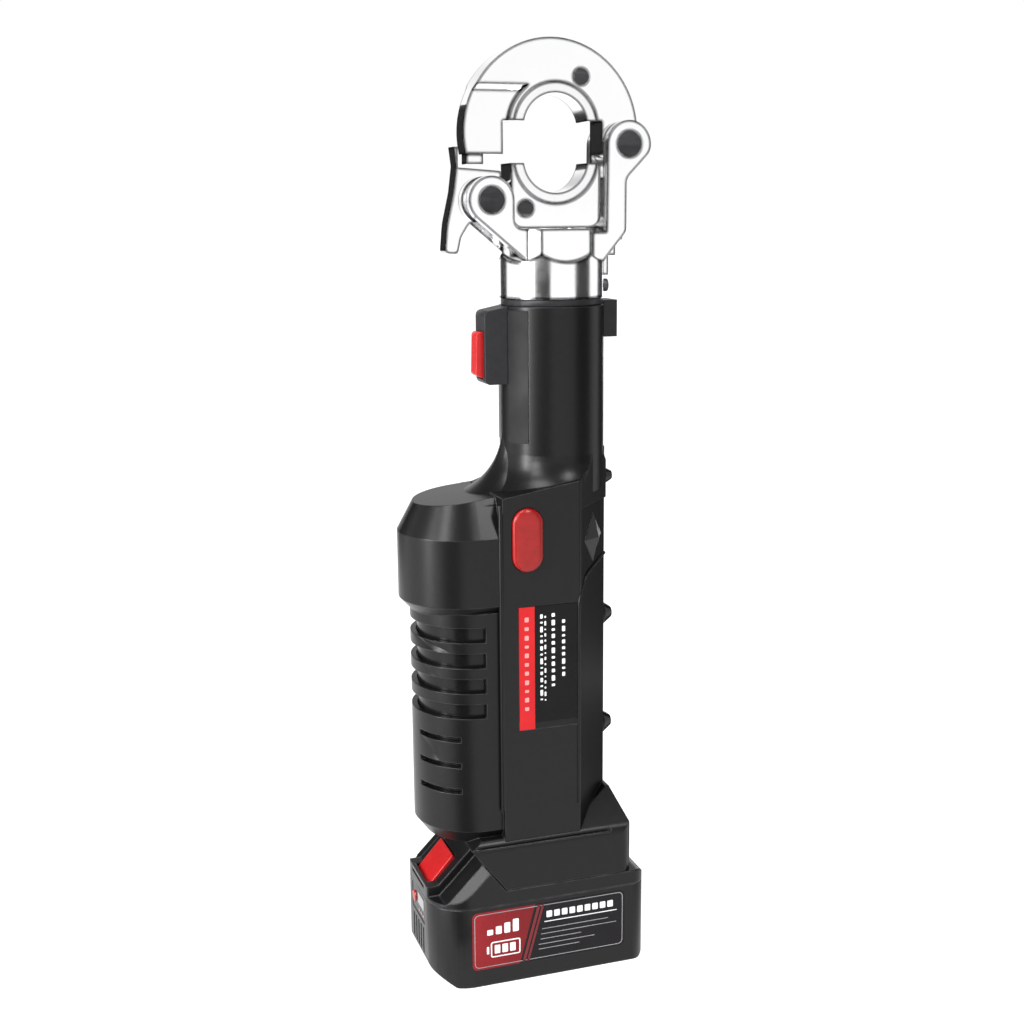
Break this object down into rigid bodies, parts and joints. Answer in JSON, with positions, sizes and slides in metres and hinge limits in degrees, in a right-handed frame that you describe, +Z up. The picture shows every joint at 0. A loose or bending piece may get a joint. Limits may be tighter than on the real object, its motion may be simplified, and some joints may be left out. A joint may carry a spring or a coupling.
{
  "type": "cordless hydraulic crimping tool",
  "caption": "Battery-powered hydraulic crimping tool: swivelling flip-top head with two half-round dies, slim grip with side trigger, motor housing and slide-on battery.",
  "frame": {"origin": "on the cylinder axis, in the plane of the battery's flat underside", "axes": "+Z up along the cylinder axis towards the head, -Y towards the labelled front, -X towards the trigger and motor housing"},
  "size_m": [0.136, 0.0759, 0.5005],
  "materials": {
    "housing_plastic": "satin moulded",
    "trim_plastic": "fine texture",
    "inner_plastic": "plain",
    "pack_plastic": "satin moulded",
    "soft_grip": "soft",
    "red_plastic": "semi gloss",
    "red_print": "printed film",
    "dark_print": "printed film",
    "chrome": "mirror polished",
    "pin_steel": "blackened",
    "steel": "machined",
    "alloy": "machined",
    "contact_brass": "plain",
    "board": "laminate",
    "cell_wrap": "shrink wrap",
    "lamp_glass": "clear"
  },
  "bodies": {
    "housing": {"front_shell": "housing_plastic", "rear_shell": "housing_plastic", "screw_posts": "housing_plastic", "shell_screws": "steel", "grip_inlays": "soft_grip", "vent_liner": "inner_plastic", "label_stripe": "red_print", "label_plate": "dark_print", "side_bumpers": "soft_grip", "side_cap": "trim_plastic", "lamp_housing": "trim_plastic", "lamp_lens": "lamp_glass", "swivel_ring": "trim_plastic", "motor_can": "steel", "gear_case": "alloy", "pump_block": "alloy", "pump_spring": "steel", "pump_piston": "steel", "relief_valve": "steel", "oil_bladder": "soft_grip", "hydraulic_barrel": "steel", "control_board": "board", "board_components": "inner_plastic", "terminal_block": "inner_plastic", "terminal_blades": "contact_brass", "trigger_housing": "trim_plastic", "trigger_switch": "inner_plastic", "return_spring": "steel"},
    "motor_rotor": {"motor_rotor": "steel", "cooling_fan": "inner_plastic", "sun_gear": "steel"},
    "gear_output": {"planet_gears": "steel", "eccentric_shaft": "steel", "crank_bearing": "steel"},
    "trigger": {"trigger": "red_plastic"},
    "release_button": {"release_button": "red_plastic"},
    "head": {"head_yoke": "chrome", "latch_pin": "pin_steel", "jaw_hinge_pin": "pin_steel", "pin_caps": "pin_steel", "head_lock_screw": "pin_steel", "latch_spring": "steel"},
    "ram": {"ram_piston": "steel", "piston_seal": "soft_grip", "die_holder": "chrome", "lower_die": "chrome"},
    "lower_die_catch": {"lower_die_catch": "pin_steel"},
    "jaw": {"upper_jaw": "chrome", "upper_die": "chrome"},
    "upper_die_catch": {"upper_die_catch": "pin_steel"},
    "latch": {"latch_lever": "chrome"},
    "pack": {"pack_lower_case": "pack_plastic", "pack_upper_case": "pack_plastic", "cells": "cell_wrap", "pack_screws": "steel", "pack_label_red": "red_print", "pack_label_plate": "dark_print", "gauge_panel": "trim_plastic"},
    "pack_release_button": {"pack_release_button": "red_plastic"},
    "gauge_key": {"gauge_key": "red_plastic"}
  },
  "joints": [
    {"name": "head_swivel", "type": "hinge", "parent": "housing", "child": "head", "pos_m": [0, 0, 0.37], "axis": [0, 0, 1], "range_deg": [-175, 175]},
    {"name": "ram_slide", "type": "slide", "parent": "head", "child": "ram", "axis": [0, 0, 1], "range_m": [0, 0.0209], "deforming": ["return_spring"]},
    {"name": "jaw_hinge", "type": "hinge", "parent": "head", "child": "jaw", "pos_m": [0.038, 0, 0.448], "axis": [0, 1, 0], "range_deg": [0, 100]},
    {"name": "latch_hinge", "type": "hinge", "parent": "head", "child": "latch", "pos_m": [-0.037, 0, 0.42], "axis": [0, -1, 0], "range_deg": [0, 26], "stiffness_Nm_per_rad": 0.4, "springref_deg": -14.32},
    {"name": "upper_catch_press", "type": "slide", "parent": "jaw", "child": "upper_die_catch", "axis": [0, 1, 0], "range_m": [0, 0.002], "stiffness_N_per_m": 600, "springref_m": -0.001},
    {"name": "lower_catch_press", "type": "slide", "parent": "ram", "child": "lower_die_catch", "axis": [0, 1, 0], "range_m": [0, 0.002], "stiffness_N_per_m": 600, "springref_m": -0.001},
    {"name": "trigger_press", "type": "slide", "parent": "housing", "child": "trigger", "axis": [1, 0, 0], "range_m": [0, 0.003], "stiffness_N_per_m": 900, "springref_m": -0.001},
    {"name": "release_press", "type": "slide", "parent": "housing", "child": "release_button", "axis": [0, 1, 0], "range_m": [0, 0.002], "stiffness_N_per_m": 900, "springref_m": -0.001},
    {"name": "motor_spin", "type": "hinge", "parent": "housing", "child": "motor_rotor", "pos_m": [-0.048, 0, 0.13], "axis": [0, 0, 1], "continuous": true},
    {"name": "gear_output_spin", "type": "hinge", "parent": "housing", "child": "gear_output", "pos_m": [-0.048, 0, 0.2], "axis": [0, 0, 1], "continuous": true},
    {"name": "pack_slide", "type": "slide", "parent": "housing", "child": "pack", "axis": [-1, 0, 0], "range_m": [0, 0.09]},
    {"name": "pack_release_press", "type": "slide", "parent": "pack", "child": "pack_release_button", "axis": [0.7071, 0, -0.7071], "range_m": [0, 0.003], "stiffness_N_per_m": 900, "springref_m": -0.001},
    {"name": "gauge_key_press", "type": "slide", "parent": "pack", "child": "gauge_key", "axis": [1, 0, 0], "range_m": [0, 0.0006], "stiffness_N_per_m": 600, "springref_m": -0.001}
  ],
  "couplings": [
    {"joint": "gear_output_spin", "follows": "motor_spin", "ratio": 0.2}
  ]
}
